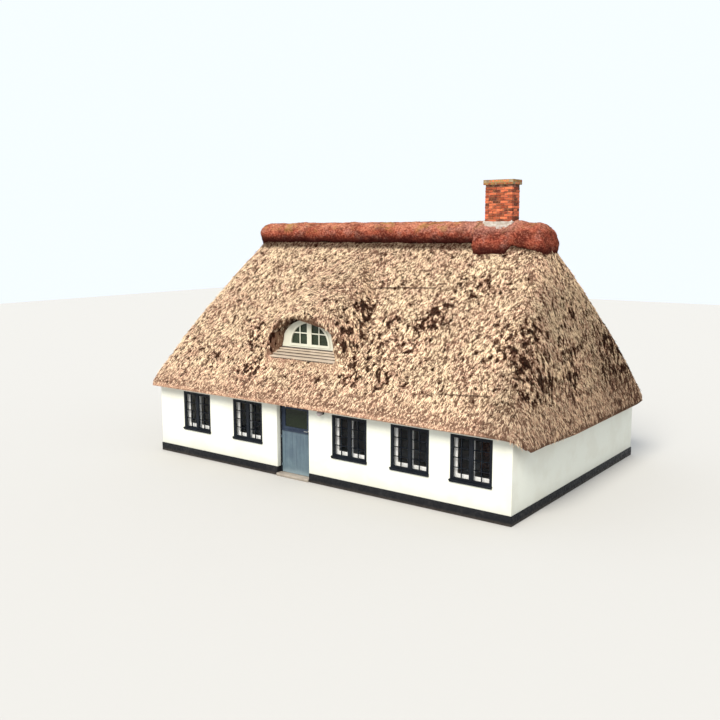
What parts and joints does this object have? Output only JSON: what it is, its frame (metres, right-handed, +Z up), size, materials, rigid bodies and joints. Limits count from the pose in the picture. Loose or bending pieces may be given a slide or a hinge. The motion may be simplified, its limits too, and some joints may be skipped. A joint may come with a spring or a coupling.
{
  "type": "thatched cottage",
  "caption": "Single-storey thatched cottage with limewashed walls, a hipped reed roof with an eyebrow dormer, a heather ridge, a brick chimney and a stable door.",
  "frame": {"origin": "on the ground, under the middle of the cottage's bounding box", "axes": "+X along the front wall from the door's hinge side towards the chimney end, +Y from the front wall into the house, +Z up"},
  "size_m": [12.4982, 8.4842, 7.92],
  "materials": {
    "limewash": "white limewash over uneven render",
    "tarred_plinth": "black tar, worn satin",
    "threshold_stone": "worn pale stone",
    "floor": "plain tiled floor, matt",
    "navy_paint": "dark navy gloss paint, weathered",
    "door_paint": "slate blue paint, worn at the foot",
    "white_paint": "cream white paint",
    "weathered_board": "bare weathered boards",
    "window_glass": "clear",
    "handle_steel": "brushed",
    "lamp": "opal glass",
    "thatch": "weathered reed with moss",
    "heather": "dry heather",
    "brick": "red brick in pale mortar",
    "cement": "weathered cement",
    "timber": "bare boards"
  },
  "bodies": {
    "house": {"floor_slab": "floor", "plinth_front_left": "tarred_plinth", "plinth_front_right": "tarred_plinth", "plinth_back": "tarred_plinth", "plinth_left_end": "tarred_plinth", "plinth_right_end": "tarred_plinth", "door_threshold": "threshold_stone", "front_wall_left": "limewash", "front_wall_right": "limewash", "front_wall_over_door": "limewash", "back_wall": "limewash", "left_end_wall": "limewash", "right_end_wall": "limewash", "front_window_1": "navy_paint", "front_window_2": "navy_paint", "front_window_3": "navy_paint", "front_window_4": "navy_paint", "front_window_5": "navy_paint", "front_window_glass_1": "window_glass", "front_window_glass_2": "window_glass", "front_window_glass_3": "window_glass", "front_window_glass_4": "window_glass", "front_window_glass_5": "window_glass", "back_window_1": "navy_paint", "back_window_2": "navy_paint", "back_window_3": "navy_paint", "back_window_4": "navy_paint", "back_windows_glass": "window_glass", "door_frame": "navy_paint", "wall_lamp": "lamp", "thatch_front": "thatch", "thatch_back": "thatch", "thatch_left_hip": "thatch", "thatch_right_hip": "thatch", "dormer_board": "white_paint", "dormer_window": "white_paint", "dormer_glass": "window_glass", "dormer_apron": "weathered_board", "ridge_main": "heather", "ridge_right_end": "heather", "ridge_patch_front": "heather", "ridge_patch_back": "heather", "chimney_shaft": "brick", "chimney_cap": "brick", "chimney_flashing": "cement", "attic_floor": "timber"},
    "lower_door": {"door_lower_leaf": "door_paint"},
    "upper_door": {"door_upper_leaf": "navy_paint", "door_glass": "window_glass", "door_handle": "handle_steel"}
  },
  "joints": [
    {"name": "lower_door_hinge", "type": "hinge", "parent": "house", "child": "lower_door", "pos_m": [-1.1295, -3.774, 0.09], "axis": [0, 0, -1], "range_deg": [0, 95]},
    {"name": "upper_door_hinge", "type": "hinge", "parent": "house", "child": "upper_door", "pos_m": [-1.1295, -3.774, 1.252], "axis": [0, 0, -1], "range_deg": [0, 95]}
  ]
}
